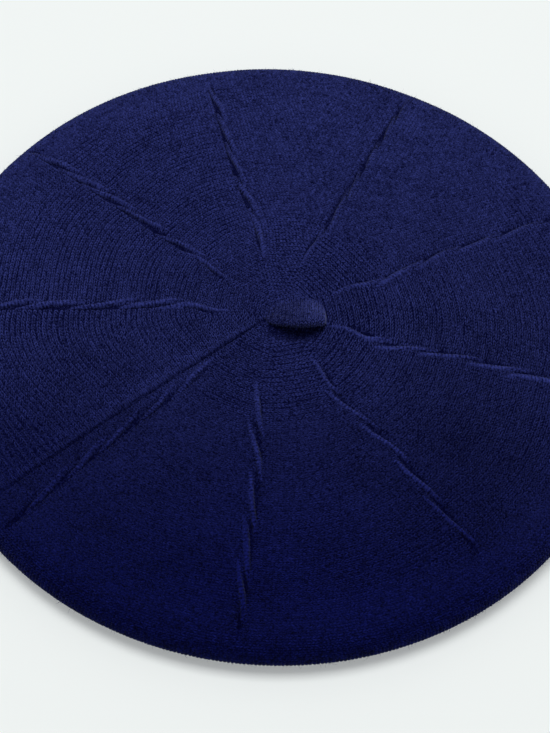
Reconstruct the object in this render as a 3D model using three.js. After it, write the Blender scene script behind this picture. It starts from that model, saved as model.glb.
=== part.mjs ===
// Knitted beret lying flat with its head opening down, in millimetres, +Z up.
// The origin is the middle of the rim circle, on the surface that the hat rests on.
// +Y points to the back of the hat, and angles run counter-clockwise from +X.
import * as THREE from "three";

// Crown wall
const rimRadius = 140;
const rimHeight = 7.5; // height of the widest line of the rim fold
const hubHeight = 26;
const hubShift = -4; // the gores meet a little in front of the rim's middle, in y
const domeDrop = 8; // fall of the top from the hub to the start of the rim fold
const domePower = 3.2; // flat near the hub, steeper towards the rim
const foldStart = 128; // radius where the top turns into the rim fold
const foldEnd = 124; // radius where the rim fold meets the flat underside
const openingRadius = 98; // inner edge of the underside, where the head band starts
const openingChord = 10; // degrees, the most that the opening's edge runs straight
const wallThickness = 2;
const pieceGap = 0.3;

// How far each end of the rim fold keeps its direction
const foldReach = { top: 7, widestUp: 5, widestDown: 4.2, underside: 9 };

// Ridges between the gores, from the right upper one round to the right lower one:
// direction at the rim, direction at the inner end, and the radius of the inner end
const ridges = [
  { angle: 27.8, innerAngle: 23.5, inner: 31 },
  { angle: 66.3, innerAngle: 67.0, inner: 31 },
  { angle: 106.1, innerAngle: 102.5, inner: 33 },
  { angle: 144.1, innerAngle: 143.5, inner: 31 },
  { angle: 183.0, innerAngle: 179.0, inner: 31 },
  { angle: 226.6, innerAngle: 227.6, inner: 36 },
  { angle: 267.6, innerAngle: 264.5, inner: 36 },
  { angle: 307.8, innerAngle: 302.5, inner: 31 },
  { angle: 346.9, innerAngle: 342.5, inner: 31 },
];
const ridgeStraight = 75; // radius from which a ridge keeps its direction at the rim

// A ridge is a chain of slanted lobes, each a little across the ridge's line
const lobes = { count: 6, pitch: 15.2, start: 33, height: 1.4, halfWidth: 2.1, swing: 1.4 };
const lobeSteps = [0.08, 0.5, 0.92]; // rings within one lobe, as shares of the pitch

// Linked seam: its clockwise side swells to a crest, its other side dips
const seam = { angle: 222.3, crest: 2.4, crestFall: 20, dip: 0.6, dipFall: 6, start: 8, full: 45 };
const seamOffsets = [-18, -9, -3, -0.7, 0.8]; // columns beside the seam, across its line
const narrowingRadius = 57; // inside this radius ridges and seam narrow towards the hub
const plainColumns = 4; // columns across a gore between two ridges
const goreMargin = 7; // degrees from a ridge to the gore's first column
const seamGore = { columns: 3, span: 12 }; // columns before the seam, and the degrees they cover
const hubRadii = [7, 14, 22, 29];
const foldSteps = 4; // rings on each half of the rim fold

// Doubled hem round the head opening
const band = { width: 20, thickness: 4, corner: 1.4, cornerSteps: 3, sides: 72 };

// Soft tab at the hub, one row for each section from its left end to its right end:
// x, back and front edge in y, rise of the front over the back, thickness
const stemSections = [
  { x: -3.6, back: -0.5, front: -6.5, rise: 0.8, thickness: 2.6 },
  { x: 0.0, back: 4.5, front: -8.6, rise: 1.8, thickness: 4.2 },
  { x: 4.5, back: 6.8, front: -10.4, rise: 2.5, thickness: 5.0 },
  { x: 9.0, back: 7.2, front: -11.4, rise: 2.8, thickness: 5.2 },
  { x: 13.5, back: 5.4, front: -11.2, rise: 3.0, thickness: 5.0 },
  { x: 17.5, back: 1.4, front: -9.8, rise: 2.8, thickness: 4.2 },
  { x: 19.4, back: -2.4, front: -8.0, rise: 2.4, thickness: 3.0 },
];
const stemEnds = { left: -5, right: 20.2 };
const stemSides = 16;

const knit = { color: 0x1e1e52, roughness: 0.95, metalness: 0 };

// A closed skin from a start point over rings of equal length to an end point.
function skinGeometry(start, rings, end) {
  const sides = rings[0].length;
  const points = [start, ...rings.flat(), end];
  const at = (ring, side) => 1 + ring * sides + (side % sides);
  const last = points.length - 1;
  const faces = [];
  for (let side = 0; side < sides; side++) {
    faces.push(0, at(0, side), at(0, side + 1));
    for (let ring = 0; ring < rings.length - 1; ring++) {
      const next = ring + 1;
      faces.push(at(ring, side), at(next, side), at(next, side + 1));
      faces.push(at(ring, side), at(next, side + 1), at(ring, side + 1));
    }
    faces.push(last, at(rings.length - 1, side + 1), at(rings.length - 1, side));
  }
  const geometry = new THREE.BufferGeometry().setFromPoints(points);
  geometry.setIndex(faces);
  geometry.computeVertexNormals();
  return geometry;
}

function domeHeight(radius) {
  return hubHeight - domeDrop * (radius / foldStart) ** domePower;
}

// Both halves of the rim fold in the plane of radius and height.
function rimFold() {
  const slope = (domePower * domeDrop) / foldStart;
  const top = domeHeight(foldStart);
  const upper = new THREE.CubicBezierCurve(
    new THREE.Vector2(foldStart, top),
    new THREE.Vector2(foldStart + foldReach.top, top - slope * foldReach.top),
    new THREE.Vector2(rimRadius, rimHeight + foldReach.widestUp),
    new THREE.Vector2(rimRadius, rimHeight),
  );
  const lower = new THREE.CubicBezierCurve(
    new THREE.Vector2(rimRadius, rimHeight),
    new THREE.Vector2(rimRadius, rimHeight - foldReach.widestDown),
    new THREE.Vector2(foldEnd + foldReach.underside, 0),
    new THREE.Vector2(foldEnd, 0),
  );
  return { upper, lower };
}

// Rings of the outer face from the hub to the opening: radius, height, shift in y, outward normal,
// share of the relief that shows there, and whether the inner face has the ring too.
function crownProfile() {
  const { upper, lower } = rimFold();
  const profile = [];
  const addTop = (radius, inside) => {
    const slope = (domePower * domeDrop * (radius / foldStart) ** (domePower - 1)) / foldStart;
    const normal = new THREE.Vector2(slope, 1).normalize();
    const shift = hubShift * (1 - (radius / foldStart) ** 2);
    profile.push({ radius, height: domeHeight(radius), shift, normal, relief: 1, inside });
  };
  const addFold = (curve, t, relief) => {
    const point = curve.getPoint(t);
    const along = curve.getTangent(t);
    const normal = new THREE.Vector2(-along.y, along.x);
    profile.push({ radius: point.x, height: point.y, shift: 0, normal, relief, inside: true });
  };
  hubRadii.forEach((radius, step) => addTop(radius, step % 2 === 1));
  for (let lobe = 0; lobe < lobes.count; lobe++) {
    lobeSteps.forEach((share, step) => addTop(lobes.start + lobes.pitch * (lobe + share), step === 1));
  }
  for (let step = 0; step < foldSteps; step++) {
    addFold(upper, step / foldSteps, 1 - step / foldSteps);
  }
  for (let step = 0; step <= foldSteps; step++) addFold(lower, step / foldSteps, 0);
  const normal = new THREE.Vector2(0, -1);
  profile.push({ radius: openingRadius, height: 0, shift: 0, normal, relief: 0, inside: true });
  return profile;
}

// Columns round the crown: three along each ridge, some beside the seam, the rest across the gores.
function crownColumns() {
  const columns = [];
  ridges.forEach((ridge, index) => {
    for (const side of [-1, 0, 1]) {
      columns.push({ angle: ridge.angle, offset: side * lobes.halfWidth, ridge, crest: side === 0 });
    }
    const next = ridges[(index + 1) % ridges.length].angle + (index + 1 === ridges.length ? 360 : 0);
    const holdsSeam = ridge.angle < seam.angle && seam.angle < next;
    const from = ridge.angle + goreMargin;
    const to = holdsSeam ? from + seamGore.span : next - goreMargin;
    const count = holdsSeam ? seamGore.columns : plainColumns;
    for (let step = 0; step < count; step++) {
      columns.push({ angle: from + ((to - from) * step) / (count - 1), offset: 0 });
    }
    if (holdsSeam) {
      for (const offset of seamOffsets) columns.push({ angle: seam.angle, offset });
    }
  });
  return columns;
}

// Place within a lobe, 0 to 1, or null where the ridge isn't there.
function lobePhase(ridge, radius) {
  const along = (radius - lobes.start) / lobes.pitch;
  const within = radius >= ridge.inner && along >= 0 && along < lobes.count;
  return within ? along % 1 : null;
}

function ridgeAngle(ridge, radius) {
  const share = THREE.MathUtils.smoothstep(radius, ridge.inner, ridgeStraight);
  return THREE.MathUtils.lerp(ridge.innerAngle, ridge.angle, share);
}

function seamLift(distance, radius) {
  const growth = THREE.MathUtils.smoothstep(radius, seam.start, seam.full);
  if (distance <= 0) return growth * seam.crest * Math.exp(distance / seam.crestFall);
  return -growth * seam.dip * Math.exp(-distance / seam.dipFall);
}

// One ring of the crown's outer face, or of its inner face one wall further in.
function crownRing(ring, columns, inner) {
  return columns.map((column) => {
    const reach = Math.max(ring.radius, narrowingRadius);
    const phase = column.ridge && ring.relief === 1 ? lobePhase(column.ridge, ring.radius) : null;
    const swing = phase === null ? 0 : lobes.swing * (phase - 0.5);
    const across = (column.offset + swing) / reach;
    const direction = column.ridge ? ridgeAngle(column.ridge, ring.radius) : column.angle;
    const angle = THREE.MathUtils.degToRad(direction) + across;
    const distance = (angle - THREE.MathUtils.degToRad(seam.angle)) * reach;
    let lift = ring.relief * seamLift(distance, ring.radius);
    if (inner) lift -= wallThickness;
    else if (column.crest && phase !== null) lift += lobes.height * Math.sqrt(Math.sin(Math.PI * phase));
    const radius = ring.radius + ring.normal.x * lift;
    const height = ring.height + ring.normal.y * lift;
    const x = radius * Math.cos(angle);
    return new THREE.Vector3(x, radius * Math.sin(angle) + ring.shift, height);
  });
}

function crownGeometry() {
  const profile = crownProfile();
  const columns = crownColumns();
  const outside = profile.map((ring) => crownRing(ring, columns, false));
  const inside = profile.filter((ring) => ring.inside).map((ring) => crownRing(ring, columns, true));
  const top = new THREE.Vector3(0, hubShift, hubHeight);
  const under = new THREE.Vector3(0, hubShift, hubHeight - wallThickness);
  return skinGeometry(top, [...outside, ...inside.reverse()], under);
}

// Flat ring with rounded edges that lies inside the underside's edge.
function bandGeometry() {
  const halfChord = THREE.MathUtils.degToRad(openingChord / 2);
  const outer = openingRadius * Math.cos(halfChord) - pieceGap;
  const inner = outer - band.width;
  const corners = [
    { radius: outer - band.corner, height: band.corner, turn: -0.5 },
    { radius: outer - band.corner, height: band.thickness - band.corner, turn: 0 },
    { radius: inner + band.corner, height: band.thickness - band.corner, turn: 0.5 },
    { radius: inner + band.corner, height: band.corner, turn: 1 },
  ];
  const outline = corners.flatMap(({ radius, height, turn }) =>
    Array.from({ length: band.cornerSteps + 1 }, (_, step) => {
      const angle = Math.PI * (turn + step / band.cornerSteps / 2);
      const x = radius + band.corner * Math.cos(angle);
      return new THREE.Vector2(x, height + band.corner * Math.sin(angle));
    }),
  );
  outline.push(outline[0].clone());
  return new THREE.LatheGeometry(outline, band.sides).rotateX(Math.PI / 2);
}

// Flattened tab: each section is a lens whose front edge stands clear of the crown.
function stemGeometry() {
  const floor = hubHeight + pieceGap;
  const rings = stemSections.map(({ x, back, front, rise, thickness }) =>
    Array.from({ length: stemSides }, (_, side) => {
      const turn = (2 * Math.PI * side) / stemSides;
      const forward = Math.cos(turn);
      const y = (back + front) / 2 - (forward * (back - front)) / 2;
      const middle = floor + thickness / 2 + (rise * (1 + forward)) / 2;
      return new THREE.Vector3(x, y, middle + (Math.sin(turn) * thickness) / 2);
    }),
  );
  const endPoint = (x, { back, front, rise, thickness }) =>
    new THREE.Vector3(x, (back + front) / 2, floor + (thickness + rise) / 2);
  const start = endPoint(stemEnds.left, stemSections[0]);
  const end = endPoint(stemEnds.right, stemSections.at(-1));
  return skinGeometry(start, rings, end);
}

function piece(name, geometry) {
  const mesh = new THREE.Mesh(geometry, new THREE.MeshStandardMaterial(knit));
  mesh.name = name;
  return mesh;
}

const beret = new THREE.Group();
beret.add(piece("crown", crownGeometry()));
beret.add(piece("head_band", bandGeometry()));
beret.add(piece("stem", stemGeometry()));

export default beret;
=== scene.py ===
import bpy
import numpy as np
from mathutils import Matrix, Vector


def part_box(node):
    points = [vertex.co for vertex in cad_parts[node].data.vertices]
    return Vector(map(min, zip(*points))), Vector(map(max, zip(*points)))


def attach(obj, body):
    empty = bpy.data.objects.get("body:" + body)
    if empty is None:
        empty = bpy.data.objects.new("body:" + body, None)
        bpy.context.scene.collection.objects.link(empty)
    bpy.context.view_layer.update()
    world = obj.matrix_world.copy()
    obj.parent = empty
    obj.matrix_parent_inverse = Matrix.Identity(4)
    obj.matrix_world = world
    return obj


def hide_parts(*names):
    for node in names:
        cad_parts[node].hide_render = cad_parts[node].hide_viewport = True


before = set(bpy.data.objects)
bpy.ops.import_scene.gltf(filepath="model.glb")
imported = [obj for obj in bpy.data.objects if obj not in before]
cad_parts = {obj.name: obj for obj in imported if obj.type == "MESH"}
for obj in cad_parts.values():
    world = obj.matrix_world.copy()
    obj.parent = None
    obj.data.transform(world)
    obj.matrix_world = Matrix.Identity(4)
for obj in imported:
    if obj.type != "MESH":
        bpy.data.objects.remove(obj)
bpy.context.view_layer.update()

mm = 0.001  # sizes are in millimetres where nothing else is said, meshes in metres
turn = 2 * np.pi
rng = np.random.default_rng(1931)


# Small helpers

def smoothStep(low, high, value):
    share = np.clip((value - low) / (high - low), 0, 1)
    return share * share * (3 - 2 * share)


def between(amount, start, full, fade, faded, value):
    return amount * smoothStep(start, full, value) * (1 - smoothStep(fade, faded, value))


def bell(distance, spread):
    return np.exp(-(distance / spread) ** 2)


def blot(x, y, placeX, placeY, wide, deep, amount):
    return amount * bell(x - placeX, wide) * bell(y - placeY, deep)


def wrapAngle(angle):
    return (angle + np.pi) % turn - np.pi


def bezier(points, steps):
    t = np.linspace(0, 1, steps)[:, None]
    a, b, c, d = (np.array(point, float) for point in points)
    return a * (1 - t) ** 3 + 3 * b * t * (1 - t) ** 2 + 3 * c * t * t * (1 - t) + d * t ** 3


def pathLength(line):
    return np.concatenate([[0], np.cumsum(np.hypot(*np.diff(line, axis=0).T))])


def joinRows(rows):
    return [np.concatenate(column) for column in zip(*rows)]


# Shader writing: Wire is a socket that takes part in sums, Paint is one material's node tree

class Wire:
    def __init__(self, paint, socket):
        self.paint = paint
        self.socket = socket

    def math(self, operation, first, second):
        return self.paint.node("ShaderNodeMath", {"operation": operation}, {0: first, 1: second})

    def __add__(self, other):
        return self.math("ADD", self, other)

    def __radd__(self, other):
        return self.math("ADD", other, self)

    def __sub__(self, other):
        return self.math("SUBTRACT", self, other)

    def __rsub__(self, other):
        return self.math("SUBTRACT", other, self)

    def __mul__(self, other):
        return self.math("MULTIPLY", self, other)

    def __rmul__(self, other):
        return self.math("MULTIPLY", other, self)


class Paint:
    def __init__(self, name):
        self.material = bpy.data.materials.new(name)
        self.material.use_nodes = True
        self.tree = self.material.node_tree
        self.tree.nodes.clear()

    def node(self, kind, settings, inputs, output=0):
        made = self.tree.nodes.new(kind)
        for key, value in settings.items():
            setattr(made, key, value)
        for key, value in inputs.items():
            if isinstance(value, Wire):
                self.tree.links.new(value.socket, made.inputs[key])
            else:
                made.inputs[key].default_value = value
        return Wire(self, made.outputs[output])

    def mix(self, share, first, second, blend="MIX"):
        settings = {"data_type": "RGBA", "blend_type": blend}
        return self.node("ShaderNodeMix", settings, {0: share, 6: first, 7: second}, 2)

    def finish(self, surface):
        output = self.tree.nodes.new("ShaderNodeOutputMaterial")
        self.tree.links.new(surface.socket, output.inputs["Surface"])
        return self.material


# Meshes from arrays

def makePiece(name, points, faces, material, node, shade, uv=None):
    mesh = bpy.data.meshes.new(name)
    corners = np.concatenate([group.ravel() for group in faces])
    sizes = np.concatenate([np.full(len(group), group.shape[1]) for group in faces])
    starts = np.concatenate([[0], np.cumsum(sizes)[:-1]])
    mesh.vertices.add(len(points))
    mesh.vertices.foreach_set("co", (points * mm).astype(np.float32).ravel())
    mesh.loops.add(len(corners))
    mesh.loops.foreach_set("vertex_index", corners.astype(np.int32))
    mesh.polygons.add(len(sizes))
    mesh.polygons.foreach_set("loop_start", starts.astype(np.int32))
    mesh.polygons.foreach_set("use_smooth", np.ones(len(sizes), bool))
    mesh.update(calc_edges=True)
    mesh.validate()
    mesh.attributes.new("shade", "FLOAT", "POINT").data.foreach_set("value", shade.astype(np.float32))
    if uv is not None:
        layer = mesh.uv_layers.new(name="OFBake")
        layer.data.foreach_set("uv", uv[corners].astype(np.float32).ravel())
    piece = bpy.data.objects.new(name, mesh)
    piece.data.materials.append(material)
    bpy.context.scene.collection.objects.link(piece)
    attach(piece, "root")
    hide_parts(node)
    print(f"{name}: {len(points)} points, {(sizes - 2).sum()} triangles")


def gridFaces(rows, columns, closed, ring=False):
    # closed joins the last column to the first, ring the last row
    row = np.arange(rows if ring else rows - 1)[:, None]
    column = np.arange(columns if closed else columns - 1)[None, :]
    right = (column + 1) % columns
    here, below = row * columns, (row + 1) % rows * columns
    return np.stack([here + column, below + column, below + right, here + right], -1).reshape(-1, 4)


# Crown: the knitted wall, along a profile from the hub over the rim to the head opening

crown = {
    "rimRadius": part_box("crown")[1].y / mm,
    "rimHeight": 7.5,
    "hubHeight": 26,
    "hubShift": -4,  # the gores meet a little in front of the rim's middle
    "domeDrop": 8,
    "domePower": 3.2,
    "foldStart": 128,
    "foldEnd": 124,
    "foldReach": (7, 5, 4.2, 9),  # handles of the two curves round the rim fold
    "openingRadius": 98,
    "wall": 2,
    "profileSteps": (260, 40, 30),  # points on the top, each half of the fold, the underside
    "narrowing": 57,  # inside this radius the ridges narrow towards the hub
    "topFade": 4,  # the relief starts to fade this far before the rim fold
    "billow": (0.5, 2, 26),  # rise of each gore, between these distances from its ridges
    "billowFrom": (20, 70),
    "sway": 0.35,
    "swayWaves": [(2, 0.7, 60), (3, -1.1, -45)],  # waves round the hat, phase, length towards the rim
    "swayFrom": (25, 90),
    "rimTuck": (0.4, 9),  # the rim fold is pulled in this far, over this spread
    "hubMound": (6, 1, 9, 6.5, 2.2),  # rise towards the stem: place, spread and height
    "stemPit": (7.5, -13.3, 8, 3, 3.2),  # hollow under the stem's lip, likewise
    "skinDepth": 0.46,  # the wall's skin lies this far under the stitches' bed
    "skinStart": 0.5,
    # the skin's tone; it is painted darker as shade between the stitches where the wales part clearly
    "skinTone": 0.5,
    "outerRings": (88, 26, 8),  # the skin's rings on the top, round the fold and on the underside
    "innerRings": (4, 12, 22),
    "goreColumns": 16,
    "besideRidge": 0.9 * np.arange(-5, 6),  # the skin's columns at a ridge and at the seam
    "besideSeam": (-5, -3, -1.6, -0.8, -0.3, 0.1, 0.5, 0.9),
    "columnGap": 0.001,  # in radians
}

ridges = {
    # rim, inner and hook are directions in degrees, start and end are radii, glow is brightness,
    # gap is the room beside the strands, and half their half width
    "columns": ("rim", "inner", "start", "end", "innerGlow", "outerGlow", "gap", "swing", "half", "hook"),
    "lines": [
        (26.7, 23.0, 29, 126, 1.0, 0.75, 0.75, 1.7, 1.45, 5),
        (66.3, 67.0, 30, 127, 0.75, 0.65, 0.85, 1.8, 1.15, 4),
        (106.1, 102.5, 32, 123, 1.0, 0.95, 0.85, 2.0, 1.15, 3),
        (144.1, 143.5, 27, 136, 1.0, 0.95, 0.85, 2.2, 1.2, 4),
        (182.4, 178.5, 24, 131, 1.0, 1.0, 0.85, 2.3, 1.25, 7),
        (226.6, 227.6, 37, 134, 0.7, 0.62, 0.85, 2.1, 1.15, 0),
        (267.0, 264.0, 38, 132, 1.0, 1.0, 0.8, 2.6, 1.2, 0),
        (307.8, 302.5, 29, 124, 1.0, 1.0, 0.75, 2.5, 1.3, 5),
        (346.9, 342.5, 27, 130, 1.0, 1.0, 0.8, 2.5, 1.45, 8),
    ],
    "straightFrom": 75,
    "hookFade": (-2, 12),  # the hook runs out between these distances from the inner end
    "endFade": (-3, 5),  # a ridge comes and goes between these distances from its ends
    "trough": (0.85, 1.3, 1.3),  # depth, place and spread of the trough that the strands cross
    "edge": (0.35, -2.4, 1.3),  # rise, place and spread of the fabric's raised edge
    "bed": (0.6, 2.4),  # place and spread of the painted shade on the skin under the strands
    "clear": (0.3, 2.3),  # the gores' stitches keep this far off the line, before and after it
    "seed": 40,
    "strandGrid": (66, 7),  # points along and across a strand
    "strandLength": 26,
    "pitch": 18,
    "lead": 6,  # the first strand starts this far inside the ridge's inner end
    "overrun": 3,  # a strand is laid if it runs less than this far past the outer end
    "lastShare": 0.7,  # with this share of its length
    "height": 0.6,
    "relief": 0.4,  # share of the trough that the strands follow
    "root": 0.7,  # the strands' edges lie this deep
    "taper": 0.55,
    "slim": 0.45,  # share of the width that the strands' ends keep
    "glowChange": (35, 70),
    "bend": (0.8, 0.2),  # straight and curved share of the swing
    "waver": (0.25, 1.3),  # size and count of the waves in a strand
    "offset": (0.9, 0.4),  # move sideways with the gap: amount, and the gap without a move
    "narrowing": 0.7,  # share of the crown's narrowing
    "ply": 1.35,
    "plySlant": 1.9,
    "plyWidth": 0.1,
    "plyHeight": 0.12,
    # painted light and shade along the ply's twist
    "plyTone": 0.4,
    "tone": (0.18, 0.37),  # painted light and shade across a strand: tone at its shaded edges, and what its lit crest adds
    "tailShade": (0.45, 0.55),  # amount, and the share of the length where it starts
    "jitter": {"length": 0.08, "swing": 0.12, "width": 0.12, "pitch": 0.06, "height": 0.09, "tone": 0.2},
}
ridgeLines = [dict(zip(ridges["columns"], line)) for line in ridges["lines"]]

seam = {
    "angle": np.radians(221.7),
    "crest": (0.5, 20, 0.6, 3.5),  # a broad rise and its fall, a sharp one and its fall
    "dip": (0.15, 6),  # depth and fall
    "edge": (-0.4, 0.5),  # the step from crest to dip lies between these distances
    "stepFrom": (3, 20),
    "narrowing": 18,  # inside this radius the seam narrows towards the hub
    "groove": 0.26,  # half width without stitches
    "grooveCut": (0.8, 0.15, 0.45),  # depth, place and spread
    "grooveShade": (0.5, 0.8, 3, 9),  # painted shade in the groove: amount, spread, and the radii where it starts and is full
    "crestHighlight": (0.4, -3.6, 2.3),  # painted highlight on the crest, which faces the light: amount, place and spread
    "crestHighlightFade": (0.5, 60, 110),  # share of the painted highlight that is lost, and between which radii
    "lee": (0.2, 2, 4, 9, 24),  # painted shade behind it: amount, and where it starts, is full, fades and ends
    "lightFrom": (12, 30),
    "firstLoop": 14,
    "loopPlace": -1.2,
    "loopWidth": 1.04,  # in wales
    "loopLength": 2.3,
    "loopHeight": 0.7,
    "loopRim": (0.35, 0.65, 4),  # share of the height past the rim, what the top adds, and its lead
    "loopJitter": 0.12,
    # the loops are painted darker, as shade at the groove's edge
    "loopShade": 0.85,
}


def crownProfile():
    c = crown
    topSteps, foldSteps, flatSteps = c["profileSteps"]
    radius = np.linspace(0, c["foldStart"], topSteps)
    drop = c["domeDrop"] * (radius / c["foldStart"]) ** c["domePower"]
    top = np.stack([radius, c["hubHeight"] - drop], 1)
    edge = top[-1]
    slope = c["domePower"] * c["domeDrop"] / c["foldStart"]
    reachTop, reachUp, reachDown, reachUnder = c["foldReach"]
    widest = np.array([c["rimRadius"], c["rimHeight"]])
    under = np.array([c["foldEnd"], 0])
    upper = bezier([edge, edge + (reachTop, -slope * reachTop), widest + (0, reachUp), widest], foldSteps)
    lower = bezier([widest, widest - (0, reachDown), under + (reachUnder, 0), under], foldSteps)
    flat = np.stack([np.linspace(c["foldEnd"], c["openingRadius"], flatSteps), np.zeros(flatSteps)], 1)
    line = np.concatenate([top, upper[1:], lower[1:], flat[1:]])
    along = pathLength(line)
    tangent = np.gradient(line, along, axis=0)
    tangent /= np.hypot(*tangent.T)[:, None]
    widestStep = topSteps + foldSteps - 2
    return {
        "along": along,
        "radius": line[:, 0],
        "height": line[:, 1],
        "outward": -tangent[:, 1],
        "upward": tangent[:, 0],
        "topEnd": along[topSteps - 1],
        "widest": along[widestStep],
        "flatStart": along[widestStep + foldSteps - 1],
        "end": along[-1],
    }


profile = crownProfile()


def ofProfile(key, along):
    return np.interp(along, profile["along"], profile[key])


def radiusAt(along):
    return ofProfile("radius", along)


def hubShift(along):
    return crown["hubShift"] * np.clip(1 - (along / profile["topEnd"]) ** 2, 0, 1)


def onCrown(along, angle, lift):
    radius = radiusAt(along) + ofProfile("outward", along) * lift
    height = ofProfile("height", along) + ofProfile("upward", along) * lift
    return np.stack([radius * np.cos(angle), radius * np.sin(angle) + hubShift(along), height], -1)


def onTop(along):
    return 1 - smoothStep(profile["topEnd"] - crown["topFade"], profile["widest"], along)


def ridgeAngle(line, radius):
    full, none = ridges["hookFade"]
    hook = line["hook"] * (1 - smoothStep(line["start"] + full, line["start"] + none, radius))
    straight = smoothStep(line["start"], ridges["straightFrom"], radius)
    return np.radians(line["inner"] + (line["rim"] - line["inner"]) * straight + hook)


def ridgePresence(line, radius):
    before, after = ridges["endFade"]
    start, end = line["start"], line["end"]
    return between(1, start + before, start + after, end + before, end + after, radius)


def ridgeDistance(line, radius, angle):
    return wrapAngle(angle - ridgeAngle(line, radius)) * np.maximum(radius, crown["narrowing"])


def ridgeShade(along, angle):
    radius = radiusAt(along)
    place, spread = ridges["bed"]
    near = 0
    for line in ridgeLines:
        bed = bell(ridgeDistance(line, radius, angle) - place, spread)
        near = np.maximum(near, ridgePresence(line, radius) * bed)
    return near


def seamDistance(radius, angle):
    return wrapAngle(angle - seam["angle"]) * np.maximum(radius, seam["narrowing"])


def seamLight(points):
    # painted light and shade: a painted highlight on the seam's crest, painted shade in its groove and
    # behind it
    x, y = points[:, 0], points[:, 1]
    y = y - hubShift(np.hypot(x, y))
    radius = np.hypot(x, y)
    distance = seamDistance(radius, np.arctan2(y, x))
    amount, place, spread = seam["crestHighlight"]
    lost, fade, faded = seam["crestHighlightFade"]
    crest = amount * bell(distance - place, spread) * (1 - lost * smoothStep(fade, faded, radius))
    amount, spread, start, full = seam["grooveShade"]
    groove = amount * bell(distance, spread) * smoothStep(start, full, radius)
    behind = between(*seam["lee"], distance)
    return 1 - groove + (crest - behind) * smoothStep(*seam["lightFrom"], radius)


def seamStep(distance):
    broad, broadFall, sharp, sharpFall = seam["crest"]
    before = np.minimum(distance, 0)
    crest = broad * np.exp(before / broadFall) + sharp * np.exp(before / sharpFall)
    low, lowFall = seam["dip"]
    dip = -low * np.exp(-np.maximum(distance, 0) / lowFall)
    deep, place, spread = seam["grooveCut"]
    groove = deep * bell(distance - place, spread)
    return crest + (dip - crest) * smoothStep(*seam["edge"], distance) - groove


def hubRelief(x, y):
    return blot(x, y, *crown["hubMound"]) - blot(x, y, *crown["stemPit"])


def crownRelief(along, angle, ridgeShare=1):
    radius = radiusAt(along)
    lift = smoothStep(*seam["stepFrom"], radius) * seamStep(seamDistance(radius, angle))
    nearest = np.inf
    deep, place, spread = ridges["trough"]
    rise, edge, wide = ridges["edge"]
    for line in ridgeLines:
        across = ridgeDistance(line, radius, angle)
        nearest = np.minimum(nearest, np.abs(across))
        form = rise * bell(across - edge, wide) - deep * bell(across - place, spread)
        lift = lift + ridgeShare * ridgePresence(line, radius) * form
    billow, start, full = crown["billow"]
    lift = lift + billow * smoothStep(start, full, nearest) * smoothStep(*crown["billowFrom"], radius)
    sway = sum(np.sin(count * angle + phase + along / length) for count, phase, length in crown["swayWaves"])
    lift = lift + crown["sway"] * sway * smoothStep(*crown["swayFrom"], radius)
    tuck, spread = crown["rimTuck"]
    x, y = radius * np.cos(angle), radius * np.sin(angle) + crown["hubShift"]
    return lift * onTop(along) + hubRelief(x, y) - tuck * bell(along - profile["widest"], spread)


def crownColumns(radius):
    # angles of the skin's columns at each radius: close beside ridges and seam, even between
    reach = np.maximum(radius, crown["narrowing"])
    seamReach = np.maximum(radius, seam["narrowing"])
    beside, besideSeam = crown["besideRidge"], crown["besideSeam"]
    columns = []
    for index, line in enumerate(ridgeLines):
        following = ridgeLines[(index + 1) % len(ridgeLines)]
        middle = ridgeAngle(line, radius)
        columns += [middle + offset / reach for offset in beside]
        start = middle + beside[-1] / reach
        last = ridgeAngle(following, radius) + beside[0] / reach
        if index + 1 == len(ridgeLines):
            last = last + turn
        holdsSeam = line["rim"] < np.degrees(seam["angle"]) < following["rim"]
        end = seam["angle"] + besideSeam[0] / seamReach if holdsSeam else last
        columns += [start + (end - start) * share for share in np.linspace(0, 1, crown["goreColumns"])[1:-1]]
        if holdsSeam:
            for left, offset in zip(range(len(besideSeam) + 1, 1, -1), besideSeam):
                limit = last - left * crown["columnGap"]  # leaves room for the columns still to come
                columns.append(np.minimum(seam["angle"] + offset / seamReach, limit))
    return np.stack(columns, 1)


def ringPlaces(stops, counts):
    # even steps from stop to stop, with each stop once
    runs = [np.linspace(*ends, count) for *ends, count in zip(stops, stops[1:], counts)]
    return np.concatenate([runs[0]] + [run[1:] for run in runs[1:]])


def crownSkin(material):
    stops = [crown["skinStart"], profile["topEnd"], profile["flatStart"], profile["end"]]
    outer = ringPlaces(stops, crown["outerRings"])
    inner = ringPlaces(stops[::-1], crown["innerRings"])

    def rings(along):
        angles = crownColumns(radiusAt(along))
        return along[:, None] + 0 * angles, angles

    def wallSide(along, depth):
        along, angles = rings(along)
        return onCrown(along, angles, crownRelief(along, angles) - depth)

    # painted shade on the skin: darker between the stitches where the wales part clearly, and under the
    # ridges' strands
    shade = crown["skinTone"] * (1 - knitClear(*rings(outer))) * (1 - ridgeShade(*rings(outer)))
    points = np.concatenate([wallSide(outer, crown["skinDepth"]), wallSide(inner, crown["wall"])])
    rows, count = points.shape[:2]
    faces = gridFaces(rows, count, True)
    points = points.reshape(-1, 3)
    ends = np.stack([points[:count].mean(0), points[-count:].mean(0)])
    first = np.arange(count)
    after = (first + 1) % count
    topEnd, lowEnd = len(points), len(points) + 1
    lastRing = len(points) - count
    topFan = np.stack([np.full(count, topEnd), first, after], 1)
    lowFan = np.stack([np.full(count, lowEnd), lastRing + after, lastRing + first], 1)
    points = np.concatenate([points, ends])
    shade = np.concatenate([shade.ravel(), np.zeros(len(points) - shade.size)])
    makePiece("crown_skin", points, [faces, topFan, lowFan], material, "crown", shade)


# Stitches: each is a V of two slanted legs, a low lens of yarn each

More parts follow.
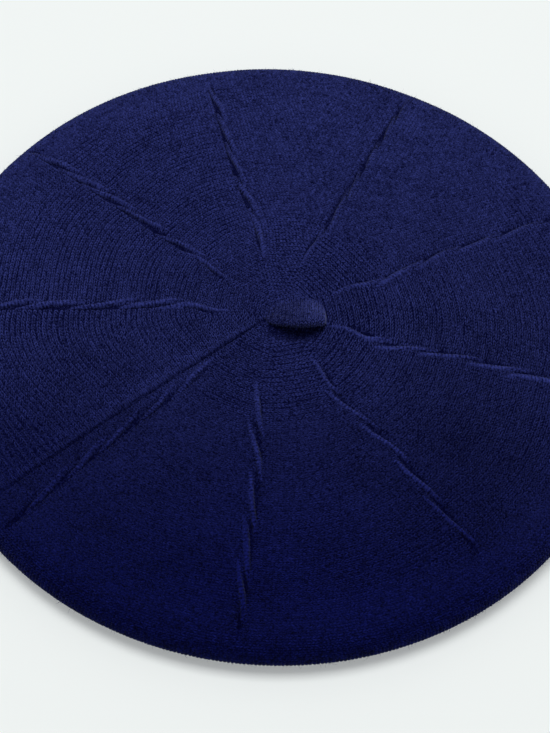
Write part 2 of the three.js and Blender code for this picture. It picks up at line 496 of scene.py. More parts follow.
stitch = {
    "wale": 1.84,
    "course": 1.36,
    "firstWale": 2.2,
    "lastGap": 0.6,  # left free at the head opening
    "fineReach": 6,  # the legs have their finer form until this far past the rim
    "height": 0.36,
    "rimFlat": (0.65, 11),  # stitches on the rim are lower by this share, over this spread
    "sink": -0.52,  # the legs' edges reach down into the skin
    "stemOverlap": 0.35,  # stitches that lie deeper than this under the stem are left out
    "jitter": {"place": 0.05, "size": 0.08, "height": 0.16, "turn": 0.09, "tone": 0.11},
    "toneRange": (0.1, 1.1),
    # legs where the wales run together, and what is added where they part clearly
    "tone": (0.44, 0.32),
    # the legs' edges are painted darker than their crests, as shade between the legs
    "edgeShade": (0.75, -0.5),
    "rise": (0.75, 0.25),
    "width": (1.3, -0.3),
    "reach": (1.2, -0.2),
    "hubClear": (0.95, 35, 75),  # wales part clearly at the hub: amount, and radii where that fades
    "rimFelt": (0.75, -14, 2),  # and felt together at the rim: amount, from where to where
    # direction and how clearly the wales part there
    "clear": [
        (0, 0.9), (27, 0.75), (40, 0.5), (66, 0.45), (86, 0.5), (106, 0.75), (125, 0.95),
        (144, 0.9), (165, 0.85), (183, 0.85), (200, 0.75), (222, 0.7), (228, 0.35), (250, 0.35),
        (270, 0.45), (288, 0.55), (308, 0.65), (327, 0.9), (347, 0.85), (360, 0.9),
    ],
    # how steeply the wales run inwards from a gore's first ridge to its next, gore by gore
    "slant": [-0.1, 0.03, 0.05, 0.07, 0.18, 0.05, 0.06, 0.06, 0.03],
    "slantOver": 0.4,  # share of the gore to either side of its middle
    "bow": (0.7, -0.9, 28, 60),  # bow of the wales in a gore: at the hub, its change, radii of that
    "bowMean": 1.021,
    "evenFrom": (105, 126),  # from here to there bow and slant run out
    "lean": (4, -0.26, 45, 125),  # wales sit off the hub: distance, direction, where full and gone
    "wander": 0.1,
    "wanderWaves": [(5, 9, 0), (11, 7, 2), (17, 5, 4)],  # length round the hub, length outwards, phase
    # patches painted lighter and darker, as light and shade: place in x and y, spread in x and y, and change
    "patches": [
        (-55, -95, 45, 40, -0.24), (-100, 0, 45, 40, 0.3), (40, -8, 25, 20, 0.04),
        (95, 5, 35, 45, -0.18), (72, -62, 38, 35, -0.4), (5, -64, 30, 18, -0.24),
        (-42, -62, 34, 26, -0.1), (10, -100, 60, 24, 0.22), (-70, 55, 42, 35, -0.12),
        (74, 60, 42, 35, -0.1),
    ],
}

# stations of a leg, in shares: along the course, across the wale, half width, height
fineLeg = np.array([
    (-0.66, 0.055, 0, 0),
    (-0.25, 0.14, 0.138, 0.93),
    (0.25, 0.262, 0.146, 1),
    (0.68, 0.375, 0, 0),
])
plainLeg = np.array([
    (-0.72, 0.07, 0, 0),
    (0, 0.22, 0.18, 1),
    (0.74, 0.39, 0, 0),
])


def knitClear(along, angle):
    directions, amounts = np.array(stitch["clear"]).T
    sector = np.interp(np.degrees(angle) % 360, directions, amounts)
    amount, full, none = stitch["hubClear"]
    hub = amount * (1 - smoothStep(full, none, radiusAt(along)))
    felt, before, after = stitch["rimFelt"]
    worn = smoothStep(profile["topEnd"] + before, profile["topEnd"] + after, along)
    return np.maximum(sector, hub) * (1 - felt * worn)


def legFaces(stations):
    # triangles at a leg's tips, quads along it, and how many points it has
    last = 1 + 3 * (stations - 2)
    left, middle, right = (1 + 3 * np.arange(stations - 2) + i for i in range(3))
    tri = np.array([(0, right[0], middle[0]), (0, middle[0], left[0]),
                    (middle[-1], right[-1], last), (left[-1], middle[-1], last)])
    quad = [(middle[i], right[i], right[i + 1], middle[i + 1]) for i in range(stations - 3)]
    quad += [(left[i], middle[i], middle[i + 1], left[i + 1]) for i in range(stations - 3)]
    return tri, np.array(quad, int).reshape(-1, 4), last + 1


def knitLegs(place, across, along, acrossSize, alongSize, leg, height, sink, clear=1.0):
    # across and along are the stitches' middles on the surface that place() bends
    def parted(key):
        base, gain = stitch[key]
        return base + gain * clear

    def jitter(key, *shape):
        return stitch["jitter"][key] * rng.standard_normal(shape)

    count = len(across)
    tone = parted("tone") + jitter("tone", count)
    tri, quad, perLeg = legFaces(len(leg))
    spots, shades, tris, quads = [], [], [], []
    for number, side in enumerate((1, -1)):
        size = 1 + jitter("size", count)
        rise = height * parted("rise") * (1 + jitter("height", count))
        tilt = jitter("turn", count)
        slip = jitter("place", 2, count)
        shade = np.clip(tone + jitter("tone", count), *stitch["toneRange"])
        for index, (forward, out, half, share) in enumerate(leg):
            tip = index in (0, len(leg) - 1)
            for spread in ((0,) if tip else (-1, 0, 1)):
                width = half * size * parted("width")
                u = side * (out * parted("reach") + spread * width) + tilt * forward + slip[0]
                t = forward * size + slip[1]
                crest = spread == 0 and not tip
                h = rise * share if crest else np.full(count, sink)
                spots.append(np.stack([across + u * acrossSize, along + t * alongSize, h], -1))
                # painted shade on the legs' edges
                shades.append(shade * (1 if crest else parted("edgeShade")))
        base = (np.arange(count) * 2 * perLeg + number * perLeg)[:, None, None]
        facing = slice(None, None, side)  # the mirrored leg keeps facing out
        tris.append((base + tri[None, :, facing]).reshape(-1, 3))
        quads.append((base + quad[None, :, facing]).reshape(-1, 4))
    spots = np.stack(spots, 1).reshape(-1, 3)
    shades = np.stack(shades, 1).ravel()
    extent = np.ptp(spots[:, :2], axis=0)
    uv = (spots[:, :2] - spots[:, :2].min(0)) / np.where(extent > 0, extent, 1)
    faces = [group for group in (np.concatenate(tris), np.concatenate(quads)) if len(group)]
    return place(*spots.T), faces, shades, uv


def lightAndShadePatches(x, y):
    amount = 1
    for patch in stitch["patches"]:
        amount = amount * (1 + blot(x, y, *patch))
    return amount


def goreBounds(index, along):
    # pairs of angles that a wale runs between in a gore, two where the seam divides it
    radius = radiusAt(along)
    first, second = ridgeLines[index], ridgeLines[(index + 1) % len(ridgeLines)]
    reach = max(radius, crown["narrowing"])
    before, after = (gap * onTop(along) / reach for gap in ridges["clear"])
    start = ridgeAngle(first, radius) + after * first["gap"] * ridgePresence(first, radius)
    end = ridgeAngle(second, radius) - before * second["gap"] * ridgePresence(second, radius)
    if index + 1 == len(ridgeLines):
        end += turn
    if start < seam["angle"] < end:
        gap = seam["groove"] / max(radius, seam["narrowing"])
        return [(start, seam["angle"] - gap), (seam["angle"] + gap, end)]
    return [(start, end)]


def waleLine(index, along, angle, start, end):
    # a wale's stitches between two angles: it bows, slants, leans and wanders off an even ring
    radius = radiusAt(along)
    wide = end - start
    middle = (angle - (start + end) / 2) / max(wide, 1e-6)
    loose = 1 - smoothStep(*stitch["evenFrom"], along)
    inner, change, low, high = stitch["bow"]
    chord = (inner + change * smoothStep(low, high, radius)) * loose
    bow = along * chord * (1 / np.cos(middle * wide) - stitch["bowMean"])
    over = stitch["slantOver"]
    inward = stitch["slant"][index] * wide * (smoothStep(-over, over, middle) - 0.5)
    bow = bow - along * inward * loose
    far, toward, full, gone = stitch["lean"]
    lean = between(far, 0, full, full, gone, along) * np.cos(angle - toward)
    drift = sum(np.sin(angle * radius / around + along / outward + phase)
                for around, outward, phase in stitch["wanderWaves"])
    return along + bow + lean + stitch["wander"] * drift


def goreStitches(index, alongs):
    rows = []
    for along in alongs:
        for start, end in goreBounds(index, along):
            arc = (end - start) * radiusAt(along)
            count = int(arc / stitch["course"] + 0.5)
            if count < 1:
                continue
            step = (end - start) / count
            angle = start + (np.arange(count) + 0.5) * step
            rows.append((waleLine(index, along, angle, start, end), angle, np.full(count, step)))
    return joinRows(rows)


def onKnitBed(along, angle, lift):
    return onCrown(along, angle, crownRelief(along, angle) + lift)


def stitchedCrown(material):
    waleRows = np.arange(stitch["firstWale"], profile["end"] - stitch["lastGap"], stitch["wale"])
    fineEnd = profile["widest"] + stitch["fineReach"]
    fine, plain = waleRows[waleRows < fineEnd], waleRows[waleRows >= fineEnd]
    flat, spread = stitch["rimFlat"]
    for index in range(len(ridgeLines)):
        across, angle, course = goreStitches(index, fine)
        keep = stemCover(across, angle) < stitch["stemOverlap"]
        across, angle, course = across[keep], angle[keep], course[keep]
        height = stitch["height"] * (1 - flat * bell(across - profile["widest"], spread))
        points, faces, shade, uv = knitLegs(onKnitBed, across, angle, stitch["wale"], course, fineLeg,
                                            height, stitch["sink"], knitClear(across, angle))
        # painted shadow under the stem's lip
        shade = shade * (1 - stemShadow(points[:, 0], points[:, 1]))
        # patches of painted light and shade, and the seam's painted highlight and shade
        shade = shade * lightAndShadePatches(points[:, 0], points[:, 1]) * seamLight(points)
        makePiece(f"knit_gore_{index + 1}", points, faces, material, "crown", shade, uv)
    across, angle, course = joinRows([goreStitches(index, plain) for index in range(len(ridgeLines))])
    points, faces, shade, uv = knitLegs(onKnitBed, across, angle, stitch["wale"], course, plainLeg,
                                        stitch["height"], stitch["sink"])
    makePiece("knit_underside", points, faces, material, "crown", shade, uv)


# Ridges: chains of slanted strands that overlap like the plies of a rope

def ridgeStrands(material):
    r = ridges
    jitter = r["jitter"]
    rows, columns = r["strandGrid"]
    share, across = np.meshgrid(np.linspace(0, 1, rows), np.linspace(-1, 1, columns), indexing="ij")
    bulge = np.sin(np.pi * share) ** r["taper"]
    dome = np.sqrt(1 - across ** 2)
    straight, curved = r["bend"]
    slope = straight * (2 * share - 1) + curved * np.sin(np.pi * (share - 0.5))
    waver, waves = r["waver"]
    aside, level = r["offset"]
    edgeShade, crestLight = r["tone"]
    tailShade, tailStart = r["tailShade"]
    tail = 1 - tailShade * smoothStep(tailStart, 1, share)
    points, faces, shades = [], [], []
    for index, line in enumerate(ridgeLines):
        chance = np.random.default_rng(r["seed"] + index)
        begin = line["start"] - r["lead"]
        while begin + r["lastShare"] * r["strandLength"] < line["end"] + r["overrun"]:
            wild = chance.standard_normal(5)
            rough = chance.standard_normal((2, rows, columns))
            length = r["strandLength"] * (1 + jitter["length"] * wild[0])
            radius = begin + length * share
            glowChange = smoothStep(*r["glowChange"], radius)
            bright = line["innerGlow"] + (line["outerGlow"] - line["innerGlow"]) * glowChange
            swing = line["swing"] * (1 + jitter["swing"] * wild[1])
            drift = swing * slope + waver * np.sin(turn * waves * share + 3 * wild[2])
            ply = np.sin(turn * length * share / r["ply"] + r["plySlant"] * across + 3 * wild[4])
            wide = line["half"] * (1 + jitter["width"] * wild[3])
            half = wide * (r["slim"] + (1 - r["slim"]) * bulge) * (1 + r["plyWidth"] * ply)
            reach = np.maximum(radius, crown["narrowing"] * r["narrowing"])
            sideways = drift - aside * (line["gap"] - level) + half * across
            angle = ridgeAngle(line, radius) + sideways / reach
            uneven = 1 + r["plyHeight"] * ply + jitter["height"] * rough[0]
            rise = (r["height"] * bright + r["root"]) * bulge * dome * uneven - r["root"]
            spots = onCrown(radius, angle, crownRelief(radius, angle, r["relief"]) + rise)
            faces.append(gridFaces(rows, columns, False)[:, ::-1] + len(points) * rows * columns)
            points.append(spots.reshape(-1, 3))
            # painted light and shade on the strand: lit crest, shaded edges, the ply's twist, and painted
            # shade at the tail where it dives
            tone = (edgeShade + crestLight * dome) * (1 + r["plyTone"] * ply) * bright * tail
            shades.append((tone + jitter["tone"] * rough[1]).ravel())
            begin += r["pitch"] * (1 + jitter["pitch"] * wild[2])
    makePiece("ridges", np.concatenate(points), faces, material, "crown",
              np.concatenate(shades))


# Seam: the fat loops of the linked edge, one to each wale

def seamLoops(material):
    along = np.arange(seam["firstLoop"], profile["flatStart"], stitch["wale"])
    reach = np.maximum(radiusAt(along), seam["narrowing"])
    along = along + seam["loopJitter"] * rng.standard_normal(len(along))
    angle = seam["angle"] + seam["loopPlace"] / reach
    low, gain, lead = seam["loopRim"]
    height = seam["loopHeight"] * (low + gain * onTop(along + lead))
    wide = stitch["wale"] * seam["loopWidth"]
    points, faces, shade, _ = knitLegs(onKnitBed, along, angle, wide, seam["loopLength"] / reach,
                                       fineLeg, height, stitch["sink"])
    makePiece("seam_loops", points, faces, material, "crown", shade * seam["loopShade"])


# Stem: a soft tab that rises out of the hub and folds over to the front

stem = {
    # x, back edge, front edge, height of the top, radius of the lip
    "sections": np.array([
        (-5.0, -5.8, -7.4, 0.3, 0.2),
        (-2.6, -1.5, -10.0, 1.3, 0.7),
        (1.0, 1.8, -11.5, 2.6, 1.1),
        (5.0, 3.0, -12.2, 3.9, 1.5),
        (9.0, 3.4, -12.6, 5.1, 1.9),
        (13.0, 2.8, -12.4, 5.8, 2.1),
        (16.4, 1.6, -11.9, 6.0, 2.1),
        (18.2, -0.4, -11.6, 5.6, 1.9),
        (19.0, -2.4, -10.6, 4.4, 1.4),
        (19.4, -4.6, -8.8, 0.4, 0.3),
    ]),
    "slope": (-0.15, 1.1),  # stretch of a smooth step that the back of the tab rises by
    "backSink": 0.5,
    "rootHeight": -1.0,
    "sheetSteps": 120,
    "outlineSteps": (50, 24, 14),  # points of the rise, the lip and the part below it
    # the crease where the seam's crest runs on over the tab: x and distance from the front edge
    "crease": [(-5, 0.4), (-2, 5.2), (4, 4.6), (9, 2.6), (12, 1.2)],
    "creaseCut": (0.7, 0.55),  # depth and spread
    "creaseEnds": (-5, -3, 8, 12),  # x where it starts, is full, fades and ends
    "shadow": (7, -13.7, 10.5, 3.4),  # painted shadow in the hollow under the lip: place in x and y, spread in x and y
    "shadowBow": 0.022,
    "shadowEnds": (0.75, 1.15),  # shares of the spread in x where it fades and ends
    "shadowDepth": 0.95,
    "shadowReach": 9,
    "coverSink": 0.6,
    "skinGrid": (44, 56),
    "skinDepth": 0.3,
    "skinTone": (0.1, 0.5, 0.65),  # on the tab, and shares of the outline where it fades to black as painted shade under the lip
    "tipTone": (0.5, 18, 18.7),  # at the bare tip, and x where it starts and is full
    "wale": 1.4,
    "course": 1.25,
    "waleEnds": (0.7, 0.3),
    "height": 0.3,
    "sink": -0.34,
    "clear": 0.4,
    "knitLight": (0.82, 0.6, 9, 14.5),  # painted light, brighter towards the right end, which faces the light: tone at the left, what the right adds, x where it changes
}
stemFirst, stemLast = stem["sections"][0, 0], stem["sections"][-1, 0]


def stemShadow(x, y):
    # painted shadow in the hollow under the lip, where the yarn is painted all but black
    placeX, placeY, wide, deep = stem["shadow"]
    bow = placeY + stem["shadowBow"] * (x - placeX) ** 2
    beside = 1 - smoothStep(*stem["shadowEnds"], np.abs(x - placeX) / wide)
    reach = stem["shadowReach"]
    return stem["shadowDepth"] * beside * bell(np.clip(y - bow, -reach, reach), deep)


def smoothTable(table, x):
    # rows of the table at x, joined by a smooth curve
    last = len(table) - 1
    position = np.interp(x, table[:, 0], np.arange(len(table)))
    low = np.clip(np.floor(position).astype(int), 0, last - 1)
    t = (position - low)[..., None]
    before, first, second, after = (table[np.clip(low + step, 0, last), 1:] for step in (-1, 0, 1, 2))
    return first + 0.5 * t * (second - before + t * (2 * before - 5 * first + 4 * second - after
                                                     + t * (3 * (first - second) + after - before)))


def stemSheet():
    # y and height of the tab over x and the share of its outline, from the back to the root
    steps = stem["sheetSteps"]
    riseSteps, lipSteps, belowSteps = stem["outlineSteps"]
    shares = np.linspace(0, 1, steps)
    sheet = np.empty((2, steps, steps))
    q = np.linspace(0, 1, riseSteps)
    bend = np.linspace(np.pi / 2, -np.pi / 2, lipSteps)[1:]
    below = np.linspace(0, 1, belowSteps)[1:, None]
    creaseX, creaseOff = np.array(stem["crease"]).T
    cut, spread = stem["creaseCut"]
    for index, x in enumerate(np.linspace(stemFirst, stemLast, steps)):
        back, front, top, lip = smoothTable(stem["sections"], x)
        low = hubRelief(x, back) - stem["backSink"]
        rise = low + (top - low) * smoothStep(*stem["slope"], q)
        ramp = np.stack([back + (front + lip - back) * q, rise], 1)
        edge = np.stack([front + lip - lip * np.cos(bend), ramp[-1, 1] - lip + lip * np.sin(bend)], 1)
        root = np.array([(back + front) / 2, stem["rootHeight"]])
        crease = front + np.interp(x, creaseX, creaseOff)
        ramp[:, 1] -= between(cut, *stem["creaseEnds"], x) * bell(ramp[:, 0] - crease, spread)
        line = np.concatenate([ramp, edge, edge[-1] + below * (root - edge[-1])])
        along = pathLength(line)
        for axis in (0, 1):
            sheet[axis, index] = np.interp(shares * along[-1], along, line[:, axis])
    return sheet


stemSurface = stemSheet()


def onStem(x, share, lift):
    last = stem["sheetSteps"] - 1
    column = np.clip((x - stemFirst) / (stemLast - stemFirst), 0, 1) * (last - 0.001)
    row = np.clip(share, 0.009, 0.991) * last  # leaves a row to either side for the slope

    def spot(axis, r):
        i, j = column.astype(int), np.minimum(r.astype(int), last - 1)
        s, t = column - i, r - j
        grid = stemSurface[axis]
        return ((grid[i, j] * (1 - t) + grid[i, j + 1] * t) * (1 - s)
                + (grid[i + 1, j] * (1 - t) + grid[i + 1, j + 1] * t) * s)

    aheadY, aheadZ = (spot(axis, row + 1) - spot(axis, row - 1) for axis in (0, 1))
    size = np.maximum(np.hypot(aheadY, aheadZ), 1e-6)
    y = spot(0, row) + aheadZ / size * lift
    z = spot(1, row) - aheadY / size * lift
    return np.stack([x, y, z + crown["hubHeight"]], -1)


def stemCover(along, angle):
    # height of the tab over the crown's knit, 0 outside its back half
    x, y, _ = onCrown(along, angle, 0).T
    back, front, top, _ = smoothTable(stem["sections"], np.clip(x, stemFirst, stemLast)).T
    q = (back - y) / np.maximum(back - front, 0.1)
    covered = (x > stemFirst) & (x < stemLast) & (q > 0) & (q < 0.5)
    return np.where(covered, top * smoothStep(*stem["slope"], q) - stem["coverSink"], 0)


def stemTab(material):
    rows, columns = stem["skinGrid"]
    x, share = np.meshgrid(np.linspace(stemFirst, stemLast, rows), np.linspace(0, 1, columns), indexing="ij")
    skin = onStem(x.ravel(), share.ravel(), np.full(x.size, -stem["skinDepth"]))
    tone, fade, faded = stem["skinTone"]
    tipTone, start, full = stem["tipTone"]
    tip = tipTone * smoothStep(start, full, skin[:, 0])
    # the skin is painted black under the lip, as shade
    shade = tone * (1 - smoothStep(fade, faded, share.ravel())) + tip
    faces = gridFaces(rows, columns, False)[:, ::-1]
    makePiece("stem_skin", skin, [faces], material, "stem", shade)
    wales = []
    left, right = stem["waleEnds"]
    samples = 100
    for column in np.arange(stemFirst + left, stemLast - right, stem["wale"]):
        spots = onStem(np.full(samples, column), np.linspace(0, 1, samples), np.zeros(samples))
        count = int(np.linalg.norm(np.diff(spots, axis=0), axis=1).sum() / stem["course"])
        wales.append((np.full(count, column), (np.arange(count) + 0.5) / count, np.full(count, 1 / count)))
    across, place, course = joinRows(wales)
    points, faces, shade, _ = knitLegs(onStem, across, place, stem["wale"], course, fineLeg,
                                       stem["height"], stem["sink"], stem["clear"])
    # painted light on the tab's right end
    tone, gain, start, full = stem["knitLight"]
    shade = shade * (tone + gain * smoothStep(start, full, points[:, 0]))
    makePiece("stem_knit", points, [group[:, ::-1] for group in faces], material, "stem", shade)


# Head band: the doubled hem round the opening

bandLow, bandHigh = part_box("head_band")
band = {
    "outer": bandHigh.x / mm,
    "width": 20,
    "thickness": (bandHigh.z - bandLow.z) / mm,
    "corner": 1.4,
    "cornerSteps": 7,
    "skinGrid": (40, 180),
    "skinDepth": 0.45,
    "stitchHeight": 0.05,
    "sink": -0.5,
}


def bandLine():
    b = band
    inner, corner = b["outer"] - b["width"], b["corner"]
    parts = []
    for radius, height, begin in (
        (b["outer"] - corner, b["thickness"] - corner, 0.25),
        (b["outer"] - corner, corner, 0),
        (inner + corner, corner, -0.25),
        (inner + corner, b["thickness"] - corner, -0.5),
    ):
        bend = turn * (begin - np.linspace(0, 0.25, b["cornerSteps"]))
        parts.append(np.stack([radius + corner * np.cos(bend), height + corner * np.sin(bend)], 1))
    line = np.concatenate(parts)
    return np.concatenate([line, line[:1]])


def onBand(along, angle, lift):
    line = bandLine()
    length = pathLength(line)
    look = 0.3  # distance to either side that the slope is taken over

    def spot(place):
        return np.stack([np.interp(place % length[-1], length, line[:, i]) for i in (0, 1)])

    radius, height = spot(along)
    ahead = spot(along % length[-1] + look) - spot(along % length[-1] - look)
    ahead = ahead / np.maximum(np.hypot(*ahead), 1e-6)
    radius = radius - ahead[1] * lift
    height = height + ahead[0] * lift
    return np.stack([radius * np.cos(angle), radius * np.sin(angle), height], -1)


def stitchRing(along, count):
    # one ring of stitches: places, angles and the angle of one stitch, from a chance start
    angle = (np.arange(count) + rng.uniform()) * turn / count
    return np.full(count, along), angle, np.full(count, turn / count)


def headBand(core, material):
    length = pathLength(bandLine())[-1]
    rows, columns = band["skinGrid"]
    alongs, angles = np.linspace(0, length, rows + 1)[:-1], np.linspace(0, turn, columns + 1)[:-1]
    along, angle = np.meshgrid(alongs, angles, indexing="ij")
    skin = onBand(along.ravel(), angle.ravel(), np.full(along.size, -band["skinDepth"]))
    faces = gridFaces(rows, columns, True, ring=True)
    makePiece("head_band_skin", skin, [faces], core, "head_band", np.zeros(len(skin)))
    rings = []
    wales = round(length / stitch["wale"])
    for along in (np.arange(wales) + 0.5) * length / wales:
        radius = np.hypot(*onBand(np.array([along]), np.zeros(1), np.zeros(1))[0, :2])
        rings.append(stitchRing(along, round(turn * radius / stitch["course"])))
    across, angle, course = joinRows(rings)
    points, faces, shade, _ = knitLegs(onBand, across, angle, stitch["wale"], course, plainLeg,
                                       band["stitchHeight"], band["sink"])
    makePiece("head_band_knit", points, faces, material, "head_band", shade)


# Inside of the crown: the purl side, bumps that lie across the wales

inside = {
    "first": 4,
    "coarse": 1.46,  # its stitches are this much larger than those outside
    "height": 0.3,
    "sink": -0.2,
}


def insideKnit(material):
    wale, course = stitch["wale"] * inside["coarse"], stitch["course"] * inside["coarse"]
    rings = []
    for along in np.arange(inside["first"], profile["flatStart"], wale):
        rings.append(stitchRing(along, round(turn * radiusAt(along) / course)))
    along, angle, step = joinRows(rings)

    def onInside(angle, along, lift):
        return onCrown(along, angle, crownRelief(along, angle) - crown["wall"] - lift)

    points, faces, shade, _ = knitLegs(onInside, angle, along, step, wale, plainLeg,
                                       inside["height"], inside["sink"])
    makePiece("inside_knit", points, faces, material, "crown", shade)


# Fuzz: short loose fibres over the knit, thicker along the rim

fuzz = {
    "fibres": 13000,
    "rimFibres": 7000,
    "first": 3,
    "rimBand": (-5, 8),  # from before the rim fold to past the widest place
    "length": (1.0, 2.8),
    "rimShare": 0.6,  # the rim's fibres are worn shorter
    "width": 0.07,
    "taper": ((0, 1), (0.35, 0.85), (0.7, 0.6)),  # share of the length, share of the width
    "rootLift": 0.15,
    "steep": (0.1, 0.75),
    "curl": (0.5, 0.4),  # to the side and upwards
    "twist": 0.7,
    "tone": (0.75, 0.25, 1.2),  # mean, scatter and limit
}


def looseFibres(material):
    def scatter(count, low, high):
        along = np.sqrt(rng.uniform(low ** 2, high ** 2, count))
        return along, rng.uniform(0, turn, count)

    before, past = fuzz["rimBand"]
    wide = scatter(fuzz["fibres"], fuzz["first"], profile["topEnd"])
    rim = scatter(fuzz["rimFibres"], profile["topEnd"] + before, profile["widest"] + past)
    along, angle = joinRows([wide, rim])
    count = len(along)
    root = onKnitBed(along, angle, np.full(count, fuzz["rootLift"]))
    up = onKnitBed(along, angle, np.full(count, fuzz["rootLift"] + 1)) - root
    ahead = rng.standard_normal((count, 3))
    ahead -= up * (ahead * up).sum(1, keepdims=True)
    ahead /= np.linalg.norm(ahead, axis=1, keepdims=True)
    side = np.cross(up, ahead)
    steep = rng.uniform(*fuzz["steep"], (count, 1))
    start = ahead * np.sqrt(1 - steep ** 2) + up * steep
    aside, upward = fuzz["curl"]
    curl = aside * rng.standard_normal((count, 1)) * side + upward * rng.standard_normal((count, 1)) * up
    length = rng.uniform(*fuzz["length"], (count, 1))
    length[fuzz["fibres"]:] *= fuzz["rimShare"]
    across = side + fuzz["twist"] * up * rng.standard_normal((count, 1))
    pairs = []
    for share, width in fuzz["taper"]:
        spot = root + length * (start * share + curl * share ** 2)
        half = across * fuzz["width"] / 2 * width
        pairs += [spot - half, spot + half]
    perFibre = len(pairs) + 1
    points = np.stack(pairs + [root + length * (start + curl)], 1).reshape(-1, 3)
    base = (perFibre * np.arange(count))[:, None]
    quads = np.concatenate([base + (0, 1, 3, 2), base + (2, 3, 5, 4)])
    mean, spread, limit = fuzz["tone"]
    shade = np.repeat(np.clip(mean + spread * rng.standard_normal(count), 0, limit), perFibre)
    makePiece("loose_fibres", points, [quads, base + (4, 5, 6)], material, "crown", shade)


# Finishes

yarn = {
    "fibre": {"Scale": 1400, "Detail": 2},
    "fibreContrast": 1.8,
    "patch": {"Scale": 45, "Detail": 2},
    "patchContrast": 0.3,
    "paintedFrontShade": (0.18, 0.232, 0.53, 1),  # painted light and shade: colours the yarn is multiplied by, darker and bluer in front as painted shade
    "paintedBackLight": (1.0, 1.04, 0.92, 1),
    "paintedShadeRange": {"From Min": -0.125, "From Max": -0.005},  # y in metres
    "bump": {"Strength": 0.35, "Distance": 0.0001},
    "surface": {
        "Roughness": 0.9,
        "Specular IOR Level": 0.03,
        "Sheen Roughness": 0.45,
        "Sheen Tint": (0.7, 0.8, 1, 1),
    },
}


def yarnFinish(name, dark, light, sheen):
    paint = Paint(name)
    shade = paint.node("ShaderNodeAttribute", {"attribute_name": "shade"}, {}, 2)
    place = paint.node("ShaderNodeTexCoord", {}, {}, 3)
    depth = paint.node("ShaderNodeSeparateXYZ", {}, {"Vector": place}, 1)
    fibre = paint.node("ShaderNodeTexNoise", {}, {"Vector": place, **yarn["fibre"]})
    patch = paint.node("ShaderNodeTexNoise", {}, {"Vector": place, **yarn["patch"]})
    blend = shade + (fibre - 0.5) * yarn["fibreContrast"] + (patch - 0.5) * yarn["patchContrast"]
    # painted shade towards the front, painted light at the back
    front = paint.node("ShaderNodeMapRange", {"interpolation_type": "SMOOTHSTEP"},
                       {"Value": depth, **yarn["paintedShadeRange"]})
    paintedShade = paint.mix(front, yarn["paintedFrontShade"], yarn["paintedBackLight"])
    colour = paint.mix(1.0, paint.mix(blend, dark, light), paintedShade, "MULTIPLY")
    bump = paint.node("ShaderNodeBump", {}, {**yarn["bump"], "Height": fibre})
    inputs = {**yarn["surface"], "Base Color": colour, "Sheen Weight": sheen, "Normal": bump}
    return paint.finish(paint.node("ShaderNodeBsdfPrincipled", {}, inputs))


# a darker copy of the navy yarn without sheen for the skins, painted shade where they show between the
# stitches
shadedInnerYarn = yarnFinish("navy inner yarn", (0.0012, 0.0018, 0.026, 1), (0.032, 0.04, 0.21, 1), 0)
crownYarn = yarnFinish("navy yarn", (0.0012, 0.0018, 0.03, 1), (0.0349, 0.0446, 0.244, 1), 0.12)
# a lighter copy of the navy yarn for the raised tab, painted light
litStemYarn = yarnFinish("navy stem yarn", (0.0012, 0.0018, 0.03, 1), (0.0465, 0.057, 0.272, 1), 0.15)
bandYarn = yarnFinish("navy band yarn", (0.0012, 0.0018, 0.03, 1), (0.038, 0.047, 0.245, 1), 0.15)


# Stage: pale floor, soft light and the photograph's camera

studio = {
    "floorSize": 60,  # this size and those of the lamp are in metres
    "floorSurface": {
        "Base Color": (0.7, 0.73, 0.72, 1),
        "Roughness": 0.9,
        "Specular IOR Level": 0.0,
        "Emission Color": (0.25, 0.26, 0.26, 1),  # the floor glows a little, so that shadows stay pale
        "Emission Strength": 1,
    },
    "world": 0.35,
    "lampPlace": (0, 0.15, 1.5),
    "lampSize": (0.9, 0.65),
    "lampWatts": 13.6,
}

view = {
    "focal": 1350,  # in pixels of the 550 by 733 frame
    "frame": 733,
    "sensor": 36,
    "nearClip": 0.01,
    "elevation": 56.0,
    "distance": 540.5,
    "aimHeight": 8,
    "pan": 0.07,
    "tilt": 1.6,
    "roll": -3.49,
}


def placeObject(name, data, axes, place):
    # axes are its right, up and back
    made = bpy.data.objects.new(name, data)
    matrix = np.eye(4)
    matrix[:3, :3] = np.transpose(axes)
    matrix[:3, 3] = place
    made.matrix_world = Matrix(matrix.tolist())
    bpy.context.scene.collection.objects.link(made)
    return made


def turnAbout(axis, angle):
    i, j = (axis + 1) % 3, (axis + 2) % 3
    matrix = np.eye(3)
    matrix[i, i] = matrix[j, j] = np.cos(angle)
    matrix[j, i] = np.sin(angle)
    matrix[i, j] = -matrix[j, i]
    return matrix


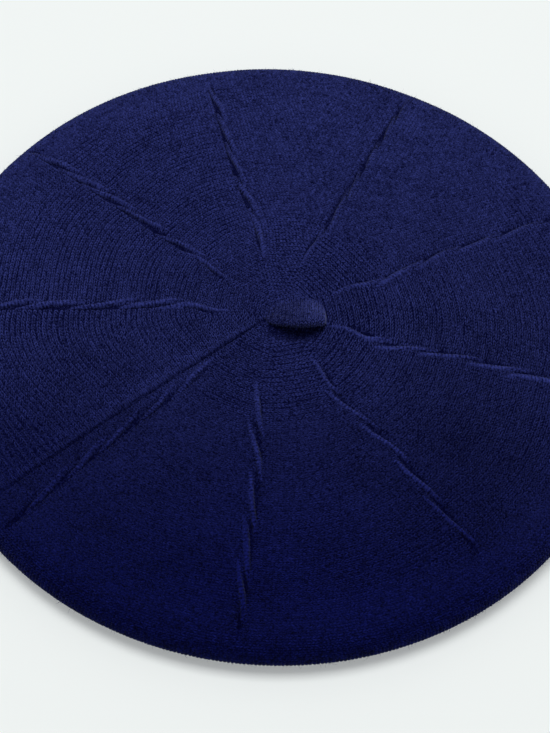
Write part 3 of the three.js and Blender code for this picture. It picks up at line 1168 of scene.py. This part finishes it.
def pictureCamera():
    elevation, pan, tilt, roll = (np.radians(view[key]) for key in ("elevation", "pan", "tilt", "roll"))
    back = np.array([0, -np.cos(elevation), np.sin(elevation)])
    right = np.array([1.0, 0, 0])
    axes = np.stack([right, np.cross(back, right), back])
    axes = turnAbout(2, roll) @ turnAbout(0, tilt) @ turnAbout(1, pan) @ axes
    place = (back * view["distance"] + (0, 0, view["aimHeight"])) * mm
    lens = bpy.data.cameras.new("picture camera")
    lens.sensor_width = view["sensor"]
    lens.lens = view["focal"] / view["frame"] * view["sensor"]
    lens.clip_start = view["nearClip"]
    bpy.context.scene.camera = placeObject("picture camera", lens, axes, place)


def topLight():
    lamp = bpy.data.lights.new("top light", "AREA")
    lamp.shape = "RECTANGLE"
    lamp.size, lamp.size_y = studio["lampSize"]
    lamp.energy = studio["lampWatts"]
    place = np.array(studio["lampPlace"])
    back = place / np.linalg.norm(place)  # it shines at the frame's origin
    right = np.cross((0, 0, 1), back)
    right /= np.linalg.norm(right)
    placeObject("top light", lamp, np.stack([right, np.cross(back, right), back]), place)


def paleFloor():
    size = studio["floorSize"] / 2
    mesh = bpy.data.meshes.new("floor")
    corners = [(-size, -size, 0), (size, -size, 0), (size, size, 0), (-size, size, 0)]
    mesh.from_pydata(corners, [], [(0, 1, 2, 3)])
    floor = bpy.data.objects.new("floor", mesh)
    bpy.context.scene.collection.objects.link(floor)
    paint = Paint("pale floor")
    surface = paint.node("ShaderNodeBsdfPrincipled", {}, studio["floorSurface"])
    floor.data.materials.append(paint.finish(surface))


def studioWorld():
    world = bpy.data.worlds.new("studio")
    world.use_nodes = True
    background = world.node_tree.nodes["Background"]
    background.inputs["Color"].default_value = (1, 1, 1, 1)
    background.inputs["Strength"].default_value = studio["world"]
    bpy.context.scene.world = world
    bpy.context.scene.view_settings.view_transform = "Standard"


pictureCamera()
paleFloor()
studioWorld()
topLight()
print("stage set")
crownSkin(shadedInnerYarn)
stitchedCrown(crownYarn)
print("crown knitted")
ridgeStrands(crownYarn)
seamLoops(crownYarn)
stemTab(litStemYarn)
headBand(shadedInnerYarn, bandYarn)
insideKnit(crownYarn)
looseFibres(crownYarn)
print("pieces made")
